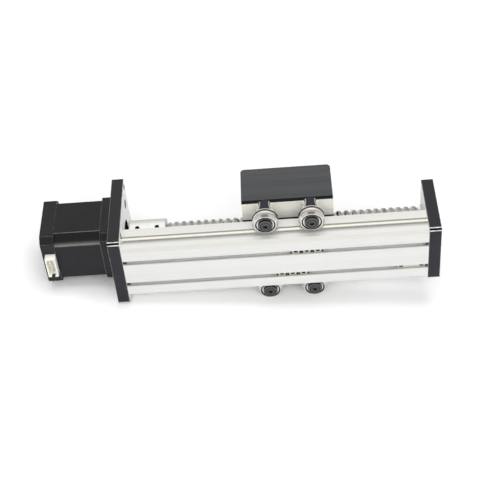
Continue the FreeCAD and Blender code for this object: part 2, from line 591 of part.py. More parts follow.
def make_drive():
    shaft_end = f"({coupling_middle} - Dim.shaft_gap / 2)"
    shaft_start = f"({stator_rear} - Dim.motor_bearing_width)"
    shaft = new_body("motor_shaft", z=axis_height)
    discs(shaft, "YZ_Plane", middle, "Dim.shaft_diameter", shaft_start, f"{shaft_end} - {shaft_start}")
    rotor = new_body("motor_rotor", z=axis_height)
    discs(rotor, "YZ_Plane", middle, "Dim.rotor_diameter", f"{stator_rear} + Dim.rotor_end_gap",
          "Dim.stator_length - 2 * Dim.rotor_end_gap", "Dim.shaft_diameter")

    screw = new_body("ball_screw", z=axis_height)
    section = new_sketch(screw, "XZ_Plane")
    crest = "(Dim.screw_diameter / 2)"
    journal = "(Dim.journal_diameter / 2)"
    shoulder = f"({journal} + Dim.shoulder_step)"
    tip = f"({bearing_end} + Dim.journal_past_bearing)"
    start = f"({coupling_middle} + Dim.shaft_gap / 2)"
    chamfer = "Dim.screw_end_chamfer"
    draw_polygon(section, [
        (start, "0"), (start, journal), (thread_start, journal),
        (thread_start, f"{crest} - {chamfer}"), (f"{thread_start} + {chamfer}", crest),
        (f"{thread_end} - {chamfer}", crest), (thread_end, f"{crest} - {chamfer}"),
        (thread_end, shoulder), (bearing_start, shoulder),
        (bearing_start, journal), (tip, journal), (tip, "0")])
    turn(screw, section, "H_Axis")


def turn_body(body):
    body.Placement = Placement(Vector(), Rotation(Vector(1, 0, 0), value("Dim.set_screw_turn")))
    body.setExpression("Placement.Rotation.Angle", "Dim.set_screw_turn * 1deg")


def make_coupling():
    sides = (
        (f"{coupling_start} + Dim.set_screw_inset", "Dim.shaft_diameter / 2"),
        (f"{coupling_end} - Dim.set_screw_inset", "Dim.journal_diameter / 2"),
    )
    places = [(x, "0") for x, depth in sides]
    half = "Dim.coupling_length / 2"
    body = new_body("shaft_coupling", z=axis_height)
    turn_body(body)
    discs(body, "YZ_Plane", middle, "Dim.coupling_diameter", coupling_start, "Dim.coupling_length")
    ends = (value(coupling_start), value(coupling_end))
    dress(body, "PartDesign::Chamfer", "Size", "Dim.coupling_chamfer",
          lambda edge: any(round_edge_at("x", end)(edge) for end in ends))
    holes(body, "YZ_Plane", middle, "Dim.shaft_diameter", coupling_start, half, True)
    holes(body, "YZ_Plane", middle, "Dim.journal_diameter", coupling_middle, half, True)
    for role in ("XZ_Plane", "XY_Plane"):
        holes(body, role, places, "Dim.set_screw_diameter", "0", "Dim.coupling_diameter / 2", True)
    screws = new_body("coupling_set_screws", z=axis_height)
    turn_body(screws)
    for role in ("XZ_Plane", "XY_Plane"):
        for x, depth in sides:
            discs(screws, role, [(x, "0")], "Dim.set_screw_diameter", depth,
                  f"Dim.coupling_diameter / 2 - Dim.set_screw_recess - {depth}")


def make_carriage_block():
    body = new_body("carriage_block", x="Dim.carriage_offset")
    outline = new_sketch(body, "YZ_Plane")
    right = [
        (boss_half, boss_bottom),
        (boss_half, underside),
        (f"{carriage_half} - Dim.carriage_chamfer", underside),
        (carriage_half, f"{underside} + Dim.carriage_chamfer"),
        (carriage_half, carriage_top),
    ]
    draw_polygon(outline, right + [(f"-({y})", z) for y, z in reversed(right)])
    pad(body, outline, "Dim.carriage_length", middle=True)
    top = value(carriage_top)
    half = value("Dim.carriage_length / 2")
    dress(body, "PartDesign::Fillet", "Radius", "Dim.carriage_corner",
          lambda edge: all(abs(v.Z - top) < 1e-4 and abs(abs(v.X) - half) < 1e-4 for v in edge.Vertexes)
          and abs(edge.Vertexes[0].X - edge.Vertexes[1].X) < 1e-4)
    holes(body, "YZ_Plane", [("0", axis_height)], "Dim.nut_diameter")
    table = four("(Dim.table_pitch_along / 2)", "(Dim.table_pitch_across / 2)")
    holes(body, "XY_Plane", table, "Dim.table_hole_diameter", carriage_top, "Dim.table_hole_depth")
    holes(body, "XY_Plane", roller_places, "Dim.roller_screw_diameter", underside, "Dim.stud_depth", True)
    holes(body, "XY_Plane", lock_places, "Dim.lock_screw_diameter", carriage_top,
          f"{carriage_top} - {axis_height}")


def make_nut():
    nut = new_body("ball_nut", x="Dim.carriage_offset", z=axis_height)
    end = "(Dim.nut_length / 2)"
    discs(nut, "YZ_Plane", middle, "Dim.nut_diameter", f"-{end}", "Dim.nut_length", nut_bore)
    holes(nut, "YZ_Plane", middle, "Dim.wiper_diameter", f"-{end}", "Dim.wiper_length", True)
    holes(nut, "YZ_Plane", middle, "Dim.wiper_diameter", end, "Dim.wiper_length")
    wipers = new_body("nut_wipers", x="Dim.carriage_offset", z=axis_height)
    for start in (f"-{end}", f"{end} - Dim.wiper_length"):
        discs(wipers, "YZ_Plane", middle, "Dim.wiper_diameter", start, "Dim.wiper_length", nut_bore)
    locks = new_body("nut_lock_screws", x="Dim.carriage_offset")
    seat = f"({axis_height} + Dim.nut_diameter / 2)"
    discs(locks, "XY_Plane", lock_places, "Dim.lock_screw_diameter", seat,
          f"{carriage_top} - Dim.lock_screw_recess - {seat}")


def make_roller_hardware():
    screws = new_body("roller_screws", x="Dim.carriage_offset")
    head_bottom = f"({ring_bottom} - Dim.roller_screw_head_height)"
    discs(screws, "XY_Plane", roller_places, "Dim.roller_screw_head", head_bottom,
          "Dim.roller_screw_head_height")
    dress(screws, "PartDesign::Fillet", "Radius", "Dim.roller_screw_round",
          round_edge_at("z", value(head_bottom)))
    discs(screws, "XY_Plane", roller_places, "Dim.roller_screw_diameter", ring_bottom,
          f"{underside} + Dim.stud_depth - {ring_bottom}")
    sockets(screws, "XY_Plane", roller_places, "Dim.roller_screw_key", head_bottom,
            "Dim.roller_screw_key_depth", True)

    rings = new_body("roller_inner_rings", x="Dim.carriage_offset")
    discs(rings, "XY_Plane", roller_places, "Dim.inner_ring_diameter", ring_bottom, "Dim.inner_ring_width",
          ring_bore)

    collar = f"({ring_top} + Dim.spacer_foot_height)"
    neck = f"({collar} + Dim.spacer_collar_height)"
    for label, studs, draw_collar in (("concentric_spacers", front_studs, draw_circles),
                                      ("eccentric_spacers", rear_studs, draw_hexagons)):
        body = new_body(label, x="Dim.carriage_offset")
        discs(body, "XY_Plane", studs, "Dim.spacer_foot_diameter", ring_top,
              "Dim.spacer_foot_height", ring_bore)
        sketch = new_sketch(body, "XY_Plane", collar)
        draw_collar(sketch, studs, "Dim.spacer_collar_diameter")
        draw_circles(sketch, studs, ring_bore)
        pad(body, sketch, "Dim.spacer_collar_height")
        discs(body, "XY_Plane", studs, "Dim.spacer_diameter", neck, f"{underside} - {neck}", ring_bore)


def make_roller(name, x, y):
    place = {"x": f"Dim.carriage_offset + {x}", "y": y, "z": "Dim.rod_height"}
    ring = new_body(f"roller_ring_{name}", **place)
    half = "(Dim.roller_width / 2)"
    rim = "(Dim.roller_diameter / 2)"
    bore = f"({roller_bore} / 2)"
    section = new_sketch(ring, "XZ_Plane")
    draw_polygon(section, [
        (bore, f"-{half}"), (f"{rim} - Dim.roller_chamfer", f"-{half}"),
        (rim, f"-{half} + Dim.roller_chamfer"), (rim, f"{half} - Dim.roller_chamfer"),
        (f"{rim} - Dim.roller_chamfer", half), (bore, half)])
    turn(ring, section, "V_Axis")
    track = new_sketch(ring, "XZ_Plane")
    draw_circles(track, [(roller_reach, "0")], "Dim.rod_diameter + 2 * Dim.groove_clearance")
    turn(ring, track, "V_Axis", "PartDesign::Groove")
    shields = new_body(f"roller_shields_{name}", **place)
    hole = "(Dim.inner_ring_diameter / 2 + Dim.shield_gap)"
    face = f"({half} - Dim.shield_recess)"
    back = f"({face} - Dim.shield_thickness)"
    sunk = f"({back} - Dim.shield_thickness)"
    dished = new_sketch(shields, "XZ_Plane")
    for sign in ("", "-"):
        draw_polygon(dished, [
            (hole, f"{sign}{face}"), (f"{bore} - Dim.shield_channel", f"{sign}{face}"),
            (f"{bore} - Dim.shield_channel", f"{sign}{back}"), (bore, f"{sign}{back}"),
            (bore, f"{sign}{sunk}"), (f"{bore} - 2 * Dim.shield_channel", f"{sign}{sunk}"),
            (f"{bore} - 2 * Dim.shield_channel", f"{sign}{back}"), (hole, f"{sign}{back}")])
    turn(shields, dished, "V_Axis")


def check_and_export():
    doc.recompute()
    for item in doc.Objects:
        if "Invalid" in item.State or "Error" in item.State:
            raise RuntimeError(f"{item.Name} failed: {item.State}")
    os.makedirs("parts", exist_ok=True)
    for body in parts:
        if body.Shape.isNull() or not body.Shape.isValid():
            raise RuntimeError(f"{body.Label} has no valid shape")
    for body in parts:
        body.Shape.exportStep(f"parts/{body.Label}.step")
        print(f"{body.Label}: {len(body.Shape.Solids)} solids, {body.Shape.Volume:.1f} mm3")


make_base_profile()
make_rods()
make_slot_nuts()
make_slot_stops()
make_motor_plate()
make_tail_plate()
make_plate_screws()
make_motor_housing()
make_motor_screws()
make_bearings()
make_connector()
make_drive()
make_coupling()
make_carriage_block()
make_nut()
make_roller_hardware()
for name, (x, y) in zip(("rear_tail", "front_tail", "rear_motor", "front_motor"), roller_places):
    make_roller(name, x, y)
check_and_export()
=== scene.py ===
import json
import math

import bmesh
import bpy
from mathutils import Matrix, Vector

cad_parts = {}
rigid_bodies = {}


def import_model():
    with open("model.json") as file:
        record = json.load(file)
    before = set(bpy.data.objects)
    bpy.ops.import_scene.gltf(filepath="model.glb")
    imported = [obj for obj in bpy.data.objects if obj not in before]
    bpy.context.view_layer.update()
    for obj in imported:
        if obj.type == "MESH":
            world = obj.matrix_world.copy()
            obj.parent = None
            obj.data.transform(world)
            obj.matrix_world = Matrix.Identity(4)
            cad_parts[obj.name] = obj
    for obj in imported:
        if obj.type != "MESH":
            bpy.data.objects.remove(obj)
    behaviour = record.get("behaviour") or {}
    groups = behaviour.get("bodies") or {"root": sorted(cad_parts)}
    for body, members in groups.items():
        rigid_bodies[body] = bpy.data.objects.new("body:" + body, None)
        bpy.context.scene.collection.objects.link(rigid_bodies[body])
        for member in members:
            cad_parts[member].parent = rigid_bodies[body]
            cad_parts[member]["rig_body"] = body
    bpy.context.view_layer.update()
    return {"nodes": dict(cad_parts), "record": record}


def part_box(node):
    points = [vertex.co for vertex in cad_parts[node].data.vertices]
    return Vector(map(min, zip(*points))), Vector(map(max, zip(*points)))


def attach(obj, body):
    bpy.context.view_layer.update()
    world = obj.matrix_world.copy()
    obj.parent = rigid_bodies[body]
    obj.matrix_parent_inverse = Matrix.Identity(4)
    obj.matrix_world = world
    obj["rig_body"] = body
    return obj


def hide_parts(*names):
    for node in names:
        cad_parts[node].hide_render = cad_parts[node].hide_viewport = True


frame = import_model()
nodes = frame["nodes"]
slotOf = {subpart["node"]: subpart["material_slot"] for subpart in frame["record"]["subparts"]}
mm = 0.001
print("frame loaded:", len(nodes), "nodes")


# Node helpers

def connect(tree, source, socket):
    # a socket takes either a link or a plain value
    if isinstance(source, bpy.types.NodeSocket):
        tree.links.new(source, socket)
    else:
        socket.default_value = source


def addNode(tree, kind, inputs=None, **settings):
    node = tree.nodes.new(kind)
    for name, setting in settings.items():
        setattr(node, name, setting)
    for socket, source in (inputs or {}).items():
        connect(tree, source, node.inputs[socket])
    return node


def newGroup(name, numbers, outputs):
    # a group takes a place on the surface and some numbers, and puts out values that vary with the place
    group = bpy.data.node_groups.new(name, "ShaderNodeTree")
    group.interface.new_socket(name="Vector", in_out="INPUT", socket_type="NodeSocketVector")
    for label, start in numbers.items():
        socket = group.interface.new_socket(name=label, in_out="INPUT", socket_type="NodeSocketFloat")
        socket.default_value = start
    for label in outputs:
        group.interface.new_socket(name=label, in_out="OUTPUT", socket_type="NodeSocketFloat")
    return group, group.nodes.new("NodeGroupInput").outputs, group.nodes.new("NodeGroupOutput").inputs


def calculate(tree, operation, first, second, clamp=False):
    node = addNode(tree, "ShaderNodeMath", {0: first, 1: second}, operation=operation, use_clamp=clamp)
    return node.outputs[0]


def mixColours(tree, factor, first, second):
    node = addNode(tree, "ShaderNodeMix", {"Factor": factor}, data_type="RGBA")
    # the node's colours are its inputs 6 and 7 and its output 2
    for socket, source in ((node.inputs[6], first), (node.inputs[7], second)):
        connect(tree, source if isinstance(source, bpy.types.NodeSocket) else (*source, 1.0), socket)
    return node.outputs[2]


def remap(tree, source, fromRange=(0.0, 1.0), toRange=(0.0, 1.0), curve="LINEAR"):
    node = addNode(tree, "ShaderNodeMapRange", {
        "Value": source, "From Min": fromRange[0], "From Max": fromRange[1],
        "To Min": toRange[0], "To Max": toRange[1]}, interpolation_type=curve)
    return node.outputs["Result"]


# Shared effects: drawn or brushed streaks, fine grain, smudges and rubbed edges

def makeStreaks():
    look = {"fineShare": 0.6, "broadShare": 0.4, "broadScale": 0.13, "contrast": (0.35, 0.65)}
    group, entry, leave = newGroup("drawnStreaks", {"Fineness": 1.0}, ("Shade", "Height"))
    fine = addNode(group, "ShaderNodeTexNoise", {
        "Vector": entry["Vector"], "Scale": entry["Fineness"], "Detail": 5.0, "Roughness": 0.7}).outputs[0]
    broadScale = calculate(group, "MULTIPLY", entry["Fineness"], look["broadScale"])
    broad = addNode(group, "ShaderNodeTexNoise", {
        "Vector": entry["Vector"], "Scale": broadScale, "Detail": 2.0}).outputs[0]
    both = calculate(group, "ADD", calculate(group, "MULTIPLY", fine, look["fineShare"]),
                     calculate(group, "MULTIPLY", broad, look["broadShare"]))
    connect(group, remap(group, both, look["contrast"]), leave["Shade"])
    connect(group, fine, leave["Height"])
    return group


def makeGrain():
    group, entry, leave = newGroup("fineGrain", {"Scale": 4000.0}, ("Shade", "Height"))
    noise = addNode(group, "ShaderNodeTexNoise", {
        "Vector": entry["Vector"], "Scale": entry["Scale"], "Detail": 3.0})
    pits = addNode(group, "ShaderNodeTexVoronoi", {"Vector": entry["Vector"], "Scale": entry["Scale"]})
    connect(group, noise.outputs[0], leave["Shade"])
    connect(group, pits.outputs["Distance"], leave["Height"])
    return group


def makeSmudges():
    look = {"contrast": (0.35, 0.7)}
    group, entry, leave = newGroup("softSmudges", {"Scale": 60.0}, ("Mask",))
    noise = addNode(group, "ShaderNodeTexNoise", {
        "Vector": entry["Vector"], "Scale": entry["Scale"], "Detail": 4.0, "Distortion": 0.6})
    connect(group, remap(group, noise.outputs[0], look["contrast"]), leave["Mask"])
    return group


def makeEdgeRubGlint():
    # the pieces with broken edges carry an attribute that is above 0 on those edges; the mask makes them
    # partly bare metal wear and partly a painted highlight
    look = {"contrast": (0.3, 0.6), "least": 0.35}
    group, entry, leave = newGroup("rubbedGlintEdge", {"Scale": 250.0, "Amount": 0.6}, ("Mask",))
    edge = addNode(group, "ShaderNodeAttribute", attribute_name="edgeRubGlint")
    noise = addNode(group, "ShaderNodeTexNoise", {
        "Vector": entry["Vector"], "Scale": entry["Scale"], "Detail": 4.0})
    patchy = remap(group, noise.outputs[0], look["contrast"], (look["least"], 1.0))
    mask = calculate(group, "MULTIPLY", edge.outputs["Fac"], patchy)
    connect(group, calculate(group, "MULTIPLY", mask, entry["Amount"], clamp=True), leave["Mask"])
    return group


effects = {
    "streaks": makeStreaks(),
    "grain": makeGrain(),
    "smudges": makeSmudges(),
    "edgeRubGlint": makeEdgeRubGlint(),
}
print("shared effects made:", len(effects))


# Materials, one for each finish in the record and some for single pieces

flatOn = (0.9, 0.95)  # how square to an axis a flat face is
flatUnder = (-0.9, -0.95)  # the same for faces that look down
squareOn = (0.84, 0.94)  # looser, so that only chamfers and rounded corners are left out
bumpDepth = 0.05 * mm
polishLook = {"smudge": 160.0, "bump": 0.05}


class Finish:
    def __init__(self, name, metallic=0.0, specular=0.5):
        self.material = bpy.data.materials.new(name)
        self.material.use_nodes = True
        self.tree = self.material.node_tree
        self.shader = self.tree.nodes["Principled BSDF"]
        self.place = addNode(self.tree, "ShaderNodeTexCoord").outputs
        self.put("Metallic", metallic)
        self.put("Specular IOR Level", specular)

    def put(self, socket, source):
        connect(self.tree, source, self.shader.inputs[socket])

    def maths(self, operation, first, second, clamp=False):
        return calculate(self.tree, operation, first, second, clamp)

    def mix(self, factor, first, second):
        return mixColours(self.tree, factor, first, second)

    def spread(self, source, low, high):
        return remap(self.tree, source, toRange=(low, high))

    def band(self, source, low, high):
        return remap(self.tree, source, (low, high))

    def effect(self, name, **inputs):
        given = {"Vector": self.place["Object"], **inputs}
        return addNode(self.tree, "ShaderNodeGroup", given, node_tree=effects[name]).outputs

    def streaks(self, stretch):
        mapped = addNode(self.tree, "ShaderNodeMapping", {"Vector": self.place["Object"], "Scale": stretch})
        return self.effect("streaks", Vector=mapped.outputs[0])

    def bump(self, height, strength):
        node = addNode(self.tree, "ShaderNodeBump", {
            "Height": height, "Strength": strength, "Distance": bumpDepth})
        self.put("Normal", node.outputs[0])

    def polish(self, lines, rough):
        # smudged shine and faint lines, as on every polished steel
        smudge = self.effect("smudges", Scale=polishLook["smudge"])
        self.put("Roughness", self.spread(smudge["Mask"], *rough))
        self.bump(lines["Height"], polishLook["bump"])

    def part(self, output, axis):
        # one axis of the place on the piece, or of the way its surface faces
        return addNode(self.tree, "ShaderNodeSeparateXYZ", {0: self.place[output]}).outputs[axis]

    def facing(self, axis, low, high):
        return self.band(self.part("Normal", axis), low, high)

    def sideways(self, axis, low, high):
        # the same on both sides of the axis
        return self.maths("MAXIMUM", self.facing(axis, low, high), self.facing(axis, -low, -high))

    def squareFaces(self):
        # 1 on faces square to the part's axes, 0 on chamfers and rounded corners
        sizes = [self.maths("ABSOLUTE", self.part("Normal", axis), 0.0) for axis in "XYZ"]
        largest = self.maths("MAXIMUM", self.maths("MAXIMUM", sizes[0], sizes[1]), sizes[2])
        return self.band(largest, *squareOn)

    def vector(self, operation, *sources):
        node = addNode(self.tree, "ShaderNodeVectorMath", dict(enumerate(sources)), operation=operation)
        return node.outputs

    def offCentre(self, centre, ways, spacing=None):
        # distance from a point along the given axes only, or from four points set round it
        away = self.vector("SUBTRACT", self.place["Object"], centre)[0]
        if spacing is not None:
            away = self.vector("SUBTRACT", self.vector("ABSOLUTE", away)[0], spacing)[0]
        return self.vector("LENGTH", self.vector("MULTIPLY", away, ways)[0])["Value"]

    def offRollers(self):
        # distance from the nearest roller's axis
        near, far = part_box("roller_ring_front_motor"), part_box("roller_ring_rear_tail")
        first, last = (near[0] + near[1]) / 2, (far[0] + far[1]) / 2
        return self.offCentre((first + last) / 2, (1.0, 1.0, 0.0), (last - first) / 2)


def makeClearAluminium():
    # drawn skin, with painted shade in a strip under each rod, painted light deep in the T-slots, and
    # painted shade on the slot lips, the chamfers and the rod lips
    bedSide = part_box("base_profile")[1].y
    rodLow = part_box("rail_rod_front")[0].z
    look = {"dark": (0.75, 0.745, 0.715), "light": (0.83, 0.825, 0.80), "drawn": (4.0, 900.0, 900.0),
            "bevel": (0.68, 0.67, 0.62), "chamfer": (0.765, 0.752, 0.70), "chamferTop": (2.4 * mm, 2.6 * mm),
            "side": (bedSide - 0.2 * mm, bedSide - 0.1 * mm), "strip": (0.36, 0.355, 0.33),
            "stripLow": rodLow - 2.0 * mm, "stripHigh": rodLow + 0.6 * mm,
            "slot": (1.0, 1.0, 0.985), "ceiling": (0.74, 0.735, 0.71), "lip": (0.64, 0.635, 0.61),
            "lipTop": (1.5 * mm, 1.7 * mm), "slotTop": (4.7 * mm, 4.8 * mm),
            "rough": (0.34, 0.48), "smudge": 45.0, "smudgeRough": 0.05, "bump": 0.12, "metal": 0.35}
    finish = Finish("clearAluminium", look["metal"])
    lines = finish.streaks(look["drawn"])
    skin = finish.mix(lines["Shade"], look["dark"], look["light"])
    height = finish.part("Object", "Z")
    side = finish.band(finish.offCentre((0.0, 0.0, 0.0), (0.0, 1.0, 0.0)), *look["side"])
    # the painted shade in the strip grows darker up to the rod
    strip = finish.maths("MULTIPLY", finish.band(height, look["stripLow"], look["stripHigh"]), side)
    strip = finish.maths("MULTIPLY", strip, finish.maths("LESS_THAN", height, look["stripHigh"]))
    skin = finish.mix(strip, skin, look["strip"])
    within = finish.maths("SUBTRACT", 1.0, side)
    overLips = finish.band(height, *look["lipTop"])
    deep = finish.maths("SUBTRACT", overLips, finish.band(height, *look["slotTop"]))
    # deep in the T-slots the walls get painted light, and faces that look down keep the ceiling colour
    slot = finish.mix(finish.facing("Z", *flatUnder), look["slot"], look["ceiling"])
    skin = finish.mix(finish.maths("MULTIPLY", deep, within), skin, slot)
    # the lip walls at the slot mouths get painted shade
    lip = finish.maths("MULTIPLY", finish.sideways("Y", *flatOn), finish.maths("SUBTRACT", 1.0, overLips))
    skin = finish.mix(finish.maths("MULTIPLY", lip, within), skin, look["lip"])
    # chamfers and rod lips take darker colours as painted shade
    bevel = finish.mix(finish.band(height, *look["chamferTop"]), look["chamfer"], look["bevel"])
    finish.put("Base Color", finish.mix(finish.squareFaces(), bevel, skin))
    smudge = finish.effect("smudges", Scale=look["smudge"])
    finish.put("Roughness", finish.maths("ADD", finish.spread(lines["Shade"], *look["rough"]),
                                         finish.maths("MULTIPLY", smudge["Mask"], look["smudgeRough"])))
    finish.bump(lines["Height"], look["bump"])
    return finish.material


def makeTurnedAluminium():
    # the coupling's skin is turned bright, with painted shade where it faces up and painted shade inside its
    # screw holes
    low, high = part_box("shaft_coupling")
    middle = (low + high) / 2
    radius, reach = (high.z - low.z) / 2, (high.x - low.x) / 2
    look = {"dark": (0.84, 0.84, 0.81), "light": (0.95, 0.95, 0.92), "turned": (1800.0, 30.0, 30.0),
            "shaded": (0.62, 0.62, 0.58), "top": (-0.05, 0.35), "inside": (0.012, 0.012, 0.012),
            "skin": (radius - 0.35 * mm, radius - 0.25 * mm), "ends": (reach - 0.2 * mm, reach - 0.1 * mm),
            "rough": (0.30, 0.44), "bump": 0.15, "metal": 0.4}
    finish = Finish("turnedAluminium", look["metal"])
    lines = finish.streaks(look["turned"])
    turned = finish.mix(lines["Shade"], look["dark"], look["light"])
    # faces turned up get painted shade
    turned = finish.mix(finish.facing("Z", *look["top"]), turned, look["shaded"])
    skin = finish.band(finish.offCentre(middle, (0.0, 1.0, 1.0)), *look["skin"])
    ends = finish.band(finish.offCentre(middle, (1.0, 0.0, 0.0)), *look["ends"])
    # below the skin, in the screw holes and the bore, the colour is painted shade
    finish.put("Base Color", finish.mix(finish.maths("MAXIMUM", skin, ends), look["inside"], turned))
    finish.put("Roughness", finish.spread(lines["Shade"], *look["rough"]))
    finish.bump(lines["Height"], look["bump"])
    return finish.material


anodisedLook = {"grain": 3500.0, "grainBump": 0.3, "specks": (0.0, 0.25), "bump": 0.1, "specular": 0.33}


def anodised(name, look, bareFace):
    # black skin with bare metal where bareFace says so, and bare metal wear with a painted highlight on
    # broken edges
    shared = anodisedLook
    finish = Finish(name, specular=shared["specular"])
    grain = finish.effect("grain", Scale=shared["grain"])
    brushed = finish.streaks(look["brush"])
    black = finish.mix(brushed["Shade"], look["dark"], look["light"])
    black = finish.mix(finish.spread(grain["Shade"], *shared["specks"]), black, look["speck"])
    square = finish.squareFaces()
    # chamfers and rounded corners take the darker bevel colour, a painted shade
    black = finish.mix(square, look["bevel"], black)
    bare = finish.mix(finish.streaks(look["mill"])["Shade"], look["bareDark"], look["bareLight"])
    # broken edges: bare metal wear with a painted highlight
    rubGlint = finish.effect("edgeRubGlint", Amount=look["rubGlint"])
    mask = finish.maths("MAXIMUM", bareFace(finish), rubGlint["Mask"], clamp=True)
    finish.put("Base Color", finish.mix(mask, black, bare))
    finish.put("Metallic", finish.maths("MULTIPLY", mask, look["bareMetal"]))
    roughBlack = finish.spread(square, look["roughBevel"], look["roughBlack"])
    finish.put("Roughness", finish.spread(mask, roughBlack, look["roughBare"]))
    pits = finish.maths("MULTIPLY", grain["Height"], shared["grainBump"])
    finish.bump(finish.maths("ADD", pits, brushed["Height"]), shared["bump"])
    return finish.material


def makePlateBlack():
    # the end plates are bare on both wide faces and black round their edges
    look = {"dark": (0.008, 0.008, 0.012), "light": (0.015, 0.015, 0.020), "speck": (0.024, 0.024, 0.030),
            "bareDark": (0.95, 0.95, 0.93), "bareLight": (1.0, 1.0, 0.985), "bevel": (0.004, 0.004, 0.005),
            "brush": (60.0, 800.0, 60.0), "mill": (60.0, 60.0, 900.0), "rubGlint": 0.9, "bareMetal": 0.15,
            "roughBlack": 0.42, "roughBare": 0.40, "roughBevel": 0.25}

    def bareFace(finish):
        return finish.sideways("X", *flatOn)
    return anodised("plateBlack", look, bareFace)


def makeCarriageBlack():
    # the underside is milled bare in two strips beside the bed; between them it stays black, a painted shade
    # line along the bed's top edge
    bedSide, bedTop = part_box("base_profile")[1].yz
    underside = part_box("concentric_spacers")[1].z
    trim = 1.8 * mm  # fitted to the photo
    strip = bedSide - (underside - bedTop) + trim
    look = {"dark": (0.032, 0.033, 0.036), "light": (0.072, 0.074, 0.076), "speck": (0.080, 0.082, 0.085),
            "bareDark": (0.86, 0.84, 0.74), "bareLight": (1.0, 0.985, 0.91), "bevel": (0.006, 0.006, 0.008),
            "brush": (8.0, 600.0, 600.0), "mill": (12.0, 600.0, 600.0), "rubGlint": 0.18, "bareMetal": 0.15,
            "roughBlack": 0.45, "roughBare": 0.42, "roughBevel": 0.3,
            "strip": (strip - 0.2 * mm, strip + 0.2 * mm)}

    def bareFace(finish):
        beside = finish.band(finish.offCentre((0.0, 0.0, 0.0), (0.0, 1.0, 0.0)), *look["strip"])
        return finish.maths("MULTIPLY", finish.facing("Z", *flatUnder), beside)
    return anodised("carriageBlack", look, bareFace)


paintLook = {"smudge": 70.0, "glowCurve": 1.8, "sheetBump": 0.2, "grainBump": 0.08, "specular": 0.33}


def paintedBlack(name, look):
    shared = paintLook
    finish = Finish(name, specular=shared["specular"])
    grain = finish.effect("grain", Scale=look["grain"])
    smudge = finish.effect("smudges", Scale=shared["smudge"])
    bevel = look["bevel"]
    if "glow" in look:
        # corners take on a sheen towards their lower edge
        sheen = finish.band(finish.part("Object", "Z"), *look["glowHeight"])
        bevel = finish.mix(finish.maths("POWER", sheen, shared["glowCurve"]), bevel, look["glow"])
    colour = finish.mix(smudge["Mask"], look["dark"], look["light"])
    colour = finish.mix(finish.squareFaces(), bevel, colour)
    # broken edges take the edge colour: wear with a painted highlight
    rubGlint = finish.effect("edgeRubGlint", Amount=look["rubGlint"])
    finish.put("Base Color", finish.mix(rubGlint["Mask"], colour, look["edge"]))
    finish.put("Roughness", finish.spread(grain["Shade"], *look["rough"]))
    if "sheets" in look:
        finish.bump(finish.streaks(look["sheets"])["Height"], shared["sheetBump"])
    else:
        finish.bump(grain["Height"], shared["grainBump"])
    return finish.material


def makeMotorBlack():
    return paintedBlack("motorBlack", {
        "dark": (0.005, 0.005, 0.006), "light": (0.011, 0.011, 0.012), "bevel": (0.010, 0.010, 0.010),
        "edge": (0.40, 0.40, 0.40), "rubGlint": 0.6, "rough": (0.38, 0.50), "grain": 3000.0})


def makeStackBlack():
    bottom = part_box("motor_stator")[0].z
    return paintedBlack("stackBlack", {
        "dark": (0.003, 0.003, 0.005), "light": (0.007, 0.007, 0.009), "bevel": (0.006, 0.006, 0.006),
        "edge": (0.20, 0.20, 0.20), "rubGlint": 0.55, "rough": (0.36, 0.48), "grain": 2600.0,
        "sheets": (2000.0, 1.0, 1.0), "glow": (0.24, 0.235, 0.225),
        "glowHeight": (bottom + 2.6 * mm, bottom)})


def makeRailSteel():
    # polished rods: bright along the middle, with a painted dark reflection where they turn up to the screw
    look = {"dark": (0.80, 0.785, 0.72), "light": (0.97, 0.955, 0.89), "drawn": (4.0, 900.0, 900.0),
            "darkReflection": (0.40, 0.385, 0.32), "turn": (-0.10, 0.15), "rough": (0.14, 0.22), "metal": 0.9}
    finish = Finish("railSteel", look["metal"])
    lines = finish.streaks(look["drawn"])
    bright = finish.mix(lines["Shade"], look["dark"], look["light"])
    # a painted dark reflection where the rod turns up
    finish.put("Base Color", finish.mix(finish.facing("Z", *look["turn"]), bright, look["darkReflection"]))
    finish.polish(lines, look["rough"])
    return finish.material


def makeRollerSteel():
    # ground rings with a painted shade line at the carriage's side of the groove, placed by height over the
    # ring's middle
    low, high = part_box("roller_ring_front_motor")
    look = {"dark": (0.70, 0.69, 0.65), "light": (0.86, 0.85, 0.81), "turned": (30.0, 30.0, 1500.0),
            "line": (0.09, 0.088, 0.08), "lineIn": (1.1 * mm, 1.4 * mm), "lineOut": (2.0 * mm, 2.2 * mm),
            "rough": (0.10, 0.16), "metal": 1.0}
    finish = Finish("rollerSteel", look["metal"])
    lines = finish.streaks(look["turned"])
    height = finish.maths("SUBTRACT", finish.part("Object", "Z"), (low.z + high.z) / 2)
    lineIn, lineOut = finish.band(height, *look["lineIn"]), finish.band(height, *look["lineOut"])
    ground = finish.mix(lines["Shade"], look["dark"], look["light"])
    # the dark line is painted shade
    finish.put("Base Color", finish.mix(finish.maths("SUBTRACT", lineIn, lineOut), ground, look["line"]))
    finish.polish(lines, look["rough"])
    return finish.material


nutLooks = {
    "slot_nut_bar": {"name": "slotBarSteel", "count": 1, "gap": 0.0, "shadedEnd": 0.0,
                     "inside": (0.24, 0.24, 0.24)},
    "slot_nuts_front": {"name": "frontNutSteel", "count": 3, "gap": 0.2 * mm, "shadedEnd": 1.4 * mm,
                        "inside": (0.010, 0.010, 0.010)},
    "slot_nuts_rear": {"name": "rearNutSteel", "count": 3, "gap": 0.2 * mm, "shadedEnd": 1.4 * mm,
                       "inside": (0.010, 0.010, 0.010)},
}


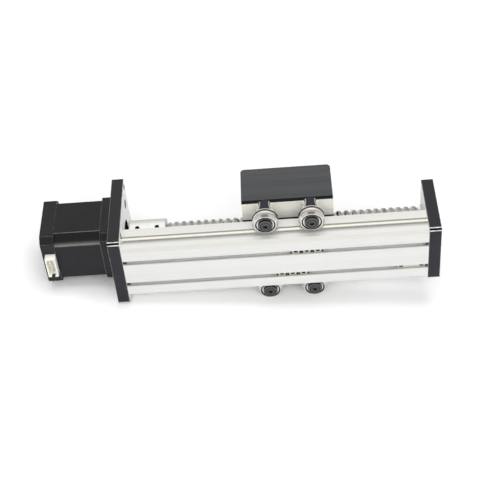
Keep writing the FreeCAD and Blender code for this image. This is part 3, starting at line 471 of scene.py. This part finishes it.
def makeNutSteel(nodeName):
    # zinc on faces that look down; painted shade in the threads, on the sides and near the ends of loose
    # nuts
    nut = nutLooks[nodeName]
    low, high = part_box(nodeName)
    period = (high.x - low.x + nut["gap"]) / nut["count"]
    reach = (period - nut["gap"]) / 2
    look = {"dark": (0.62, 0.61, 0.50), "light": (0.86, 0.85, 0.72), "grain": 2500.0, "face": (-0.6, -0.9),
            "end": (reach - nut["shadedEnd"], reach - nut["shadedEnd"] + 0.6 * mm),
            "rough": (0.28, 0.42), "metal": 0.5}
    finish = Finish(nut["name"], look["metal"])
    grain = finish.effect("grain", Scale=look["grain"])
    zinc = finish.mix(grain["Shade"], look["dark"], look["light"])
    # the place along the first nut is repeated for the others
    along = addNode(finish.tree, "ShaderNodeMath", {
        0: finish.part("Object", "X"), 1: low.x + period, 2: low.x}, operation="WRAP").outputs[0]
    away = finish.maths("ABSOLUTE", finish.maths("SUBTRACT", along, low.x + reach), 0.0)
    # painted shade near the ends of each loose nut
    zinc = finish.mix(finish.band(away, *look["end"]), zinc, nut["inside"])
    # faces that don't look down get painted shade
    finish.put("Base Color", finish.mix(finish.facing("Z", *look["face"]), nut["inside"], zinc))
    finish.put("Roughness", finish.spread(grain["Shade"], *look["rough"]))
    return finish.material


def makeScrewSteel():
    # a ground groove, brighter, between crests that are darker with lines across them
    low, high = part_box("ball_screw")
    crest = (high.z - low.z) / 2
    look = {"crestDark": (0.20, 0.197, 0.185), "crestLight": (0.54, 0.535, 0.51),
            "groove": (0.62, 0.61, 0.575), "turned": (1100.0, 60.0, 60.0),
            "depth": (crest - 0.45 * mm, crest - 0.1 * mm), "rough": (0.20, 0.32), "metal": 1.0}
    finish = Finish("screwSteel", look["metal"])
    lines = finish.streaks(look["turned"])
    land = finish.mix(lines["Shade"], look["crestDark"], look["crestLight"])
    raised = finish.band(finish.offCentre((low + high) / 2, (0.0, 1.0, 1.0)), *look["depth"])
    finish.put("Base Color", finish.mix(raised, look["groove"], land))
    finish.polish(lines, look["rough"])
    return finish.material


def makeShieldSteel():
    # dished shields: the sunk rim, nearer the roller's middle, is painted dark as shade, and the painted
    # shade spreads over its edge
    low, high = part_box("roller_shields_front_motor")
    half, radius = (high.z - low.z) / 2, (high.x - low.x) / 2
    look = {"dark": (0.64, 0.63, 0.58), "light": (0.80, 0.79, 0.74), "rimShade": (0.015, 0.015, 0.015),
            "brushed": (300.0, 300.0, 300.0), "depth": (half - 0.35 * mm, half - 0.2 * mm),
            "shadeSpread": (radius - 1.0 * mm, radius - 0.8 * mm), "rough": (0.22, 0.32), "metal": 0.9}
    finish = Finish("shieldSteel", look["metal"])
    lines = finish.streaks(look["brushed"])
    plain = finish.mix(lines["Shade"], look["dark"], look["light"])
    raised = finish.band(finish.offCentre((low + high) / 2, (0.0, 0.0, 1.0)), *look["depth"])
    shadeSpread = finish.band(finish.offRollers(), *look["shadeSpread"])
    unshaded = finish.maths("MULTIPLY", raised, finish.maths("SUBTRACT", 1.0, shadeSpread))
    # the sunk rim and its edge get painted shade
    finish.put("Base Color", finish.mix(unshaded, look["rimShade"], plain))
    finish.put("Roughness", finish.spread(lines["Shade"], *look["rough"]))
    return finish.material


def makeRollerHead():
    # low heads: a grey face with a darker ring, and a wall painted black as shade
    look = {"dark": (0.070, 0.070, 0.073), "light": (0.125, 0.125, 0.13), "ring": (0.022, 0.022, 0.024),
            "wall": (0.006, 0.006, 0.007), "face": (-0.05, -0.35), "grain": 2500.0,
            "ringIn": (2.5 * mm, 2.8 * mm), "ringOut": (3.3 * mm, 3.6 * mm),
            "rough": (0.34, 0.48), "bump": 0.08, "metal": 0.5}
    finish = Finish("rollerHead", look["metal"])
    grain = finish.effect("grain", Scale=look["grain"])
    away = finish.offRollers()
    ring = finish.maths("SUBTRACT", finish.band(away, *look["ringIn"]), finish.band(away, *look["ringOut"]))
    colour = finish.mix(grain["Shade"], look["dark"], look["light"])
    colour = finish.mix(ring, colour, look["ring"])
    # the wall is painted black, a painted shade
    finish.put("Base Color", finish.mix(finish.facing("Z", *look["face"]), look["wall"], colour))
    finish.put("Roughness", finish.spread(grain["Shade"], *look["rough"]))
    finish.bump(grain["Height"], look["bump"])
    return finish.material


def makeSpacerOxide():
    # blued spacers, with painted bright reflections along their flanks
    look = {"dark": (0.030, 0.031, 0.039), "light": (0.056, 0.058, 0.070), "bright": (1.0, 1.0, 0.99),
            "flank": (0.52, 0.72), "grain": 2500.0, "smudge": 300.0, "rough": (0.12, 0.20), "bump": 0.05,
            "metal": 0.85}
    finish = Finish("spacerOxide", look["metal"])
    grain = finish.effect("grain", Scale=look["grain"])
    smudge = finish.effect("smudges", Scale=look["smudge"])
    blued = finish.mix(grain["Shade"], look["dark"], look["light"])
    # the flanks get a painted bright reflection
    finish.put("Base Color", finish.mix(finish.sideways("X", *look["flank"]), blued, look["bright"]))
    finish.put("Roughness", finish.spread(smudge["Mask"], *look["rough"]))
    finish.bump(grain["Height"], look["bump"])
    return finish.material


def makeBlackOxide():
    look = {"dark": (0.010, 0.010, 0.011), "light": (0.022, 0.022, 0.024), "grain": 2500.0, "smudge": 300.0,
            "rough": (0.40, 0.55), "bump": 0.08, "metal": 0.1}
    finish = Finish("blackOxide", look["metal"])
    grain = finish.effect("grain", Scale=look["grain"])
    smudge = finish.effect("smudges", Scale=look["smudge"])
    finish.put("Base Color", finish.mix(grain["Shade"], look["dark"], look["light"]))
    finish.put("Roughness", finish.spread(smudge["Mask"], *look["rough"]))
    finish.bump(grain["Height"], look["bump"])
    return finish.material


steelLooks = {
    "bearing_steel": {"name": "bearingSteel", "dark": (0.62, 0.62, 0.62), "light": (0.76, 0.76, 0.76),
                      "stretch": (900.0, 40.0, 40.0), "rough": (0.14, 0.24)},
    "nut_steel": {"name": "nutSteel", "dark": (0.50, 0.50, 0.50), "light": (0.64, 0.64, 0.64),
                  "stretch": (900.0, 30.0, 30.0), "rough": (0.22, 0.32)},
    "rotor_steel": {"name": "rotorSteel", "dark": (0.34, 0.34, 0.34), "light": (0.48, 0.48, 0.48),
                    "stretch": (1200.0, 30.0, 30.0), "rough": (0.35, 0.5)},
    "pin_metal": {"name": "pinMetal", "dark": (0.84, 0.81, 0.73), "light": (0.96, 0.93, 0.86),
                  "stretch": (200.0, 200.0, 900.0), "rough": (0.3, 0.4)},
}


def makeSteel(look):
    finish = Finish(look["name"], metallic=1.0)
    lines = finish.streaks(look["stretch"])
    finish.put("Base Color", finish.mix(lines["Shade"], look["dark"], look["light"]))
    finish.polish(lines, look["rough"])
    return finish.material


mouldedLooks = {
    "socket_nylon": {"name": "socketNylon", "dark": (0.93, 0.92, 0.83), "light": (0.98, 0.97, 0.91),
                     "smudge": 220.0, "grain": 2800.0, "rough": (0.42, 0.55), "bump": 0.06},
    "wiper_plastic": {"name": "wiperPlastic", "dark": (0.030, 0.030, 0.030), "light": (0.045, 0.045, 0.045),
                      "smudge": 220.0, "grain": 2800.0, "rough": (0.45, 0.6), "bump": 0.06},
}


def makeMoulded(look):
    finish = Finish(look["name"])
    smudge = finish.effect("smudges", Scale=look["smudge"])
    grain = finish.effect("grain", Scale=look["grain"])
    finish.put("Base Color", finish.mix(smudge["Mask"], look["dark"], look["light"]))
    finish.put("Roughness", finish.spread(grain["Shade"], *look["rough"]))
    finish.bump(grain["Height"], look["bump"])
    return finish.material


finishes = {
    "clear_aluminium": makeClearAluminium(),
    "coupling_aluminium": makeTurnedAluminium(),
    "black_anodised": makePlateBlack(),
    "motor_black": makeMotorBlack(),
    "stack_black": makeStackBlack(),
    "rail_steel": makeRailSteel(),
    "roller_steel": makeRollerSteel(),
    "shield_steel": makeShieldSteel(),
    "screw_steel": makeScrewSteel(),
    "slot_nut_steel": makeNutSteel("slot_nut_bar"),
    "black_oxide": makeBlackOxide(),
    "spacer_oxide": makeSpacerOxide(),
    **{slotName: makeSteel(look) for slotName, look in steelLooks.items()},
    **{slotName: makeMoulded(look) for slotName, look in mouldedLooks.items()},
}
ownFinishes = {
    "carriage_block": makeCarriageBlack(),
    "roller_screws": makeRollerHead(),
    "slot_nuts_front": makeNutSteel("slot_nuts_front"),
    "slot_nuts_rear": makeNutSteel("slot_nuts_rear"),
}


def finishOf(nodeName):
    return ownFinishes.get(nodeName, finishes[slotOf[nodeName]])


for nodeName in slotOf:
    mesh = nodes[nodeName].data
    mesh.materials.clear()
    mesh.materials.append(finishOf(nodeName))
print("materials made:", len(finishes) + len(ownFinishes))


# Pieces

def addPiece(name, shape, nodeName, sharpAngle):
    bmesh.ops.recalc_face_normals(shape, faces=shape.faces)
    mesh = bpy.data.meshes.new(name)
    shape.to_mesh(mesh)
    shape.free()
    mesh.shade_smooth()
    mesh.set_sharp_from_angle(angle=math.radians(sharpAngle))
    mesh.materials.append(finishOf(nodeName))
    piece = bpy.data.objects.new(name, mesh)
    bpy.context.scene.collection.objects.link(piece)
    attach(piece, nodes[nodeName]["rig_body"])
    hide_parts(nodeName)
    return piece


# The screw: a ball groove wound along the crests, with plain ends
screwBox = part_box("ball_screw")
axisHeight = (screwBox[0].z + screwBox[1].z) / 2
threadLook = {
    "lead": 5.0 * mm,
    "ballRadius": 1.59 * mm,
    "ballCircle": 8.36 * mm,
    "crest": (screwBox[1].z - screwBox[0].z) / 2,
    "start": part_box("shaft_coupling")[1].x + 0.55 * mm,
    "shift": -0.7 * mm,  # moves the crests along the screw
    "end": 97.4 * mm,
    "spareTurns": 2,  # wound past each end and then cut off
    "chamfer": 1.0 * mm,
    "journal": 4.0 * mm,
    "shoulder": 5.0 * mm,
    "shoulderEnd": 98.9 * mm,
    "lap": 0.4 * mm,  # how far the plain ends reach into the thread, and the chamfer of the free end
    "stepsPerTurn": 48,
    "grooveSteps": 8,
    "plainSteps": 40,
    "weld": 0.002 * mm,
    "sharpAngle": 40,
}


def addLathe(shape, corners, steps):
    # corners are (along X, radius) about the screw's axis
    start = [shape.verts.new((x, 0.0, axisHeight + radius)) for x, radius in corners]
    edges = [shape.edges.new(pair) for pair in zip(start, start[1:])]
    bmesh.ops.spin(shape, geom=start + edges, cent=(0.0, 0.0, axisHeight), axis=(1.0, 0.0, 0.0),
                   angle=math.tau, steps=steps, use_merge=True)


def makeScrew():
    look = threadLook
    shape = bmesh.new()
    rise = look["ballCircle"] - look["crest"]
    halfGap = math.sqrt(look["ballRadius"] ** 2 - rise ** 2)
    begin = look["start"] - look["spareTurns"] * look["lead"] + look["shift"]
    crestZ = axisHeight + look["crest"]
    landEnd = begin + look["lead"] - 2 * halfGap
    land = [shape.verts.new((begin, 0.0, crestZ)), shape.verts.new((landEnd, 0.0, crestZ))]
    shape.edges.new(land)
    # the groove is an arc of the ball, from the land's end to the next land
    sweep = 2 * math.asin(halfGap / look["ballRadius"])
    ball = (landEnd + halfGap, 0.0, axisHeight + look["ballCircle"])
    bmesh.ops.spin(shape, geom=[land[1]], cent=ball, axis=(0.0, 1.0, 0.0), angle=-sweep,
                   steps=look["grooveSteps"])
    turns = math.ceil((look["end"] - look["start"]) / look["lead"]) + 2 * look["spareTurns"]
    bmesh.ops.spin(shape, geom=list(shape.verts) + list(shape.edges), cent=(0.0, 0.0, axisHeight),
                   axis=(1.0, 0.0, 0.0), angle=math.tau * turns, steps=turns * look["stepsPerTurn"],
                   dvec=(look["lead"] / look["stepsPerTurn"], 0.0, 0.0))
    bmesh.ops.remove_doubles(shape, verts=shape.verts, dist=look["weld"])
    for place, outward in ((look["start"], -1.0), (look["end"], 1.0)):
        bmesh.ops.bisect_plane(shape, geom=list(shape.verts) + list(shape.edges) + list(shape.faces),
                               plane_co=(place, 0.0, 0.0), plane_no=(outward, 0.0, 0.0), clear_outer=True)
        rim = [edge for edge in shape.edges if edge.is_boundary]
        bmesh.ops.holes_fill(shape, edges=rim, sides=0)
    # the crests run out into a chamfer at both ends
    for vert in shape.verts:
        inside = min(vert.co.x - look["start"], look["end"] - vert.co.x)
        limit = look["crest"] - max(look["chamfer"] - inside, 0.0)
        across = Vector((0.0, vert.co.y, vert.co.z - axisHeight))
        if across.length > limit:
            across *= limit / across.length
            vert.co = Vector((vert.co.x, 0.0, axisHeight)) + across
    lap, plain, collar = look["lap"], look["journal"], look["shoulder"]
    tail, tip = screwBox[0].x, screwBox[1].x
    addLathe(shape, [(tail, 0.0), (tail, plain), (look["start"] + lap, plain), (look["start"] + lap, 0.0)],
             look["plainSteps"])
    addLathe(shape, [(look["end"] - lap, 0.0), (look["end"] - lap, collar), (look["shoulderEnd"], collar),
                     (look["shoulderEnd"], plain), (tip - lap, plain), (tip, plain - lap), (tip, 0.0)],
             look["plainSteps"])
    return addPiece("threadedScrew", shape, "ball_screw", look["sharpAngle"])


# Edges of the cut and milled pieces, slightly broken so that they catch the light
edgeLooks = {
    "base_profile": {"piece": "bedExtrusion", "width": 0.15 * mm, "alongX": True},
    "motor_plate": {"piece": "motorEndPlate", "width": 0.35 * mm, "faint": 0.2},
    "tail_plate": {"piece": "tailEndPlate", "width": 0.35 * mm, "faint": 0.2},
    "motor_flange": {"piece": "motorFrontHousing", "width": 0.3 * mm, "shine": 0.25},
    "motor_stator": {"piece": "motorStack", "width": 0.3 * mm},
    "motor_rear_cap": {"piece": "motorRearHousing", "width": 0.3 * mm},
    "carriage_block": {"piece": "carriageBody", "width": 0.3 * mm},
}
shortestBroken = 2.5 * mm  # rims of round holes are made of shorter edges
sharpest = math.radians(30)
edgeCommon = {
    "weld": 0.001 * mm,
    "flat": math.radians(0.5),
    "alongX": 0.99,
    "lengthwise": 0.9,
    "sharpAngle": 18,
}
flatLook = {"square": 0.9999, "chamfer": 0.01}  # limits for a face's normal


def keepFlat(mesh):
    # square faces and 45 degree chamfers keep their own shading beside broken edges and holes
    for face in mesh.polygons:
        small, middle, large = sorted(abs(part) for part in face.normal)
        chamfer = small < flatLook["chamfer"] and large - middle < flatLook["chamfer"]
        if large > flatLook["square"] or chamfer:
            face.use_smooth = False


def makeBrokenEdges(nodeName, look):
    shape = bmesh.new()
    shape.from_mesh(nodes[nodeName].data)
    bmesh.ops.remove_doubles(shape, verts=shape.verts, dist=edgeCommon["weld"])
    bmesh.ops.dissolve_limit(shape, angle_limit=edgeCommon["flat"], verts=shape.verts, edges=shape.edges,
                             delimit=set())
    rubGlint = shape.faces.layers.float.new("edgeRubGlint")
    wanted = []
    for edge in shape.edges:
        along = edge.verts[1].co - edge.verts[0].co
        if len(edge.link_faces) == 2 and along.length > shortestBroken and edge.calc_face_angle() > sharpest:
            if not look.get("alongX") or abs(along.normalized().x) > edgeCommon["alongX"]:
                wanted.append(edge)
    broken = bmesh.ops.bevel(shape, geom=wanted, offset=look["width"], offset_type="OFFSET", segments=1,
                             profile=0.5, affect="EDGES", clamp_overlap=True, material=-1)
    # a plate's edges across the part get less wear and painted highlight than those along it
    for face in broken["faces"]:
        longest = max(face.edges, key=lambda edge: edge.calc_length())
        along = (longest.verts[1].co - longest.verts[0].co).normalized()
        lengthwise = abs(along.x) > edgeCommon["lengthwise"]
        face[rubGlint] = look.get("shine", 1.0) * (1.0 if lengthwise else look.get("faint", 1.0))
    piece = addPiece(look["piece"], shape, nodeName, edgeCommon["sharpAngle"])
    keepFlat(piece.data)
    return piece


# The motor's socket: a moulded shell with a notch for the plug's latch
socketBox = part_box("motor_connector")
socketLook = {
    "wall": 0.9 * mm,
    "floor": 1.5 * mm,
    "notch": 2.4 * mm,
    "notchDepth": 3.2 * mm,
    "soft": 0.15 * mm,
    "softSteps": 2,
    "sharpAngle": 40,
}


def makeSocket():
    look = socketLook
    low, high = socketBox
    middle = (low + high) / 2
    wall, half = look["wall"], look["notch"] / 2
    shape = bmesh.new()
    # walls as one outline that runs round the shell and back inside it, open at the notch
    outline = [(middle.x + half, high.y), (high.x, high.y), (high.x, low.y), (low.x, low.y), (low.x, high.y),
               (middle.x - half, high.y), (middle.x - half, high.y - wall), (low.x + wall, high.y - wall),
               (low.x + wall, low.y + wall), (high.x - wall, low.y + wall), (high.x - wall, high.y - wall),
               (middle.x + half, high.y - wall)]
    floorTop = high.z - look["floor"]
    ring = shape.faces.new([shape.verts.new((x, y, low.z)) for x, y in outline])
    raised = bmesh.ops.extrude_face_region(shape, geom=[ring])["geom"]
    bmesh.ops.translate(shape, verts=[item for item in raised if isinstance(item, bmesh.types.BMVert)],
                        vec=(0.0, 0.0, floorTop - low.z))
    # the floor, and the wall that is left behind the notch
    blocks = ((low, high, floorTop, high.z),
              (Vector((middle.x - half, high.y - wall, 0.0)), Vector((middle.x + half, high.y, 0.0)),
               low.z + look["notchDepth"], floorTop))
    for near, far, bottom, top in blocks:
        size = Vector((far.x - near.x, far.y - near.y, top - bottom))
        place = Vector(((near.x + far.x) / 2, (near.y + far.y) / 2, (bottom + top) / 2))
        matrix = Matrix.Translation(place) @ Matrix.Diagonal((*size, 1.0))
        bmesh.ops.create_cube(shape, size=1.0, matrix=matrix)
    rims = [edge for edge in shape.edges if edge.calc_face_angle(0.0) > sharpest]
    bmesh.ops.bevel(shape, geom=rims, offset=look["soft"], offset_type="OFFSET", segments=look["softSteps"],
                    profile=0.5, affect="EDGES", clamp_overlap=True, material=-1)
    return addPiece("plugSocket", shape, "motor_connector", look["sharpAngle"])


makeScrew()
print("screw wound")
for nodeName, look in edgeLooks.items():
    makeBrokenEdges(nodeName, look)
print("edges broken on", len(edgeLooks), "pieces")
makeSocket()
print("socket moulded")


# Stage: the part lies on its side, on the edge of the motor plate and on a rear roller
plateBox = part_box("motor_plate")
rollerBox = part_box("roller_ring_rear_motor")
stageLook = {
    "touch": (plateBox[0].x, plateBox[1].y),
    "roller": ((rollerBox[0].x + rollerBox[1].x) / 2, (rollerBox[0].y + rollerBox[1].y) / 2),
    "rollerRadius": (rollerBox[1].x - rollerBox[0].x) / 2,
    "size": 6.0,
    "fade": (0.30, 0.60),
    "floorColour": (0.90, 0.90, 0.91),
    "seenColour": (1.09, 1.085, 1.085),
}


def makeFloor():
    look = stageLook
    shape = bmesh.new()
    bmesh.ops.create_grid(shape, x_segments=1, y_segments=1, size=look["size"] / 2)
    # the grid's normal is turned from +Z to the part's front, -Y, then tilted about Z
    away = Vector(look["roller"]) - Vector(look["touch"])
    tilt = math.asin(look["rollerRadius"] / away.length) + math.atan2(away.y, away.x)
    turned = Matrix.Rotation(tilt, 4, "Z") @ Matrix.Rotation(math.radians(90), 4, "X")
    bmesh.ops.transform(shape, matrix=Matrix.Translation((*look["touch"], 0.0)) @ turned, verts=shape.verts)
    mesh = bpy.data.meshes.new("paleFloor")
    shape.to_mesh(mesh)
    shape.free()
    floor = bpy.data.objects.new("paleFloor", mesh)
    bpy.context.scene.collection.objects.link(floor)
    material = bpy.data.materials.new("paleFloor")
    material.use_nodes = True
    tree = material.node_tree
    tree.nodes.clear()
    light = addNode(tree, "ShaderNodeLightPath").outputs
    # the floor is white to the camera, and plain for the light that it throws back
    looked = calculate(tree, "MAXIMUM", light["Is Camera Ray"], light["Is Transmission Ray"])
    matte = addNode(tree, "ShaderNodeBsdfDiffuse", {
        "Color": mixColours(tree, looked, look["floorColour"], look["seenColour"])})
    clear = addNode(tree, "ShaderNodeBsdfTransparent")
    # far from the part the camera looks past the floor, into the plain background
    place = addNode(tree, "ShaderNodeTexCoord")
    distance = addNode(tree, "ShaderNodeVectorMath", {0: place.outputs["Object"]}, operation="LENGTH")
    faded = remap(tree, distance.outputs["Value"], look["fade"], curve="SMOOTHSTEP")
    faded = calculate(tree, "MULTIPLY", faded, light["Is Camera Ray"])
    # from behind it is clear, and it casts no shadow
    seen = addNode(tree, "ShaderNodeNewGeometry")
    through = calculate(tree, "MAXIMUM", seen.outputs["Backfacing"], light["Is Shadow Ray"])
    through = calculate(tree, "MAXIMUM", through, faded)
    both = addNode(tree, "ShaderNodeMixShader", {0: through, 1: matte.outputs[0], 2: clear.outputs[0]})
    addNode(tree, "ShaderNodeOutputMaterial", {"Surface": both.outputs[0]})
    mesh.materials.append(material)


worldLook = {
    "fill": (0.97, 0.98, 1.0),
    "fillStrength": 0.55,
    "room": (0.75, 0.74, 0.71),
    "ceiling": (1.10, 1.09, 1.06),
    "ceilingWay": (0.0, -1.0, 0.0),
    "ceilingEdge": (0.5, 1.0),
    "front": (0.26, 0.26, 0.26),
    "frontWay": (0.0, -0.707, -0.707),
    "frontEdge": (0.84, 0.97),
    "seen": (1.0, 1.0, 1.0),
}


def makeWorld():
    look = worldLook
    world = bpy.data.worlds.new("studioWorld")
    bpy.context.scene.world = world
    world.use_nodes = True
    tree = world.node_tree
    tree.nodes.clear()
    light = addNode(tree, "ShaderNodeLightPath").outputs
    place = addNode(tree, "ShaderNodeTexCoord").outputs["Generated"]

    def towards(way, edge):
        turned = addNode(tree, "ShaderNodeVectorMath", {0: place, 1: way}, operation="DOT_PRODUCT")
        return remap(tree, turned.outputs["Value"], edge, curve="SMOOTHSTEP")

    # polished pieces mirror a bright room that is dark towards the front
    room = mixColours(tree, towards(look["ceilingWay"], look["ceilingEdge"]), look["room"], look["ceiling"])
    room = mixColours(tree, towards(look["frontWay"], look["frontEdge"]), room, look["front"])
    mirrored = addNode(tree, "ShaderNodeBackground", {"Color": room})
    soft = addNode(tree, "ShaderNodeBackground", {
        "Color": (*look["fill"], 1.0), "Strength": look["fillStrength"]})
    white = addNode(tree, "ShaderNodeBackground", {"Color": (*look["seen"], 1.0)})
    lit = addNode(tree, "ShaderNodeMixShader", {
        0: light["Is Glossy Ray"], 1: soft.outputs[0], 2: mirrored.outputs[0]})
    looked = calculate(tree, "MAXIMUM", light["Is Camera Ray"], light["Is Transmission Ray"])
    both = addNode(tree, "ShaderNodeMixShader", {0: looked, 1: lit.outputs[0], 2: white.outputs[0]})
    addNode(tree, "ShaderNodeOutputWorld", {"Surface": both.outputs[0]})


lampLooks = {
    "overheadSoftbox": {"place": (0.10, -1.0, 0.06), "size": (0.8, 0.5), "power": 4.0, "mirrored": False},
    "frontSoftbox": {"place": (0.10, -0.68, -0.74), "size": (1.0, 0.5), "power": 4.9, "mirrored": False},
    "rearFill": {"place": (-0.30, 0.45, 0.65), "size": (0.9, 0.9), "power": 2.0, "mirrored": True},
}
lampAim = (0.0, 0.0, 0.02)


def makeLamp(name, look):
    lamp = bpy.data.lights.new(name, "AREA")
    lamp.shape = "RECTANGLE"
    lamp.size, lamp.size_y = look["size"]
    lamp.energy = look["power"]
    box = bpy.data.objects.new(name, lamp)
    box.location = look["place"]
    box.rotation_mode = "QUATERNION"
    box.rotation_quaternion = (Vector(lampAim) - Vector(look["place"])).to_track_quat("-Z", "Y")
    box.visible_glossy = look["mirrored"]
    bpy.context.scene.collection.objects.link(box)


cameraLook = {
    "place": (10.187 * mm, -597.493 * mm, -579.498 * mm),
    "right": (0.99712, 0.0737, -0.01771),
    "ahead": (-0.03929, 0.7023, 0.71079),
    "lens": 94.98,
    "sensor": 36.0,
    "nearest": 10.0 * mm,
}


def makeCamera():
    look = cameraLook
    camera = bpy.data.cameras.new("photoCamera")
    camera.lens = look["lens"]
    camera.sensor_width = look["sensor"]
    camera.clip_start = look["nearest"]
    holder = bpy.data.objects.new("photoCamera", camera)
    right = Vector(look["right"])
    back = -Vector(look["ahead"])
    axes = Matrix((right, back.cross(right), back)).transposed()
    holder.matrix_world = Matrix.Translation(look["place"]) @ axes.to_4x4()
    bpy.context.scene.collection.objects.link(holder)
    bpy.context.scene.camera = holder


makeFloor()
makeWorld()
for name, look in lampLooks.items():
    makeLamp(name, look)
makeCamera()
bpy.context.scene.view_settings.view_transform = "Standard"
print("stage set")
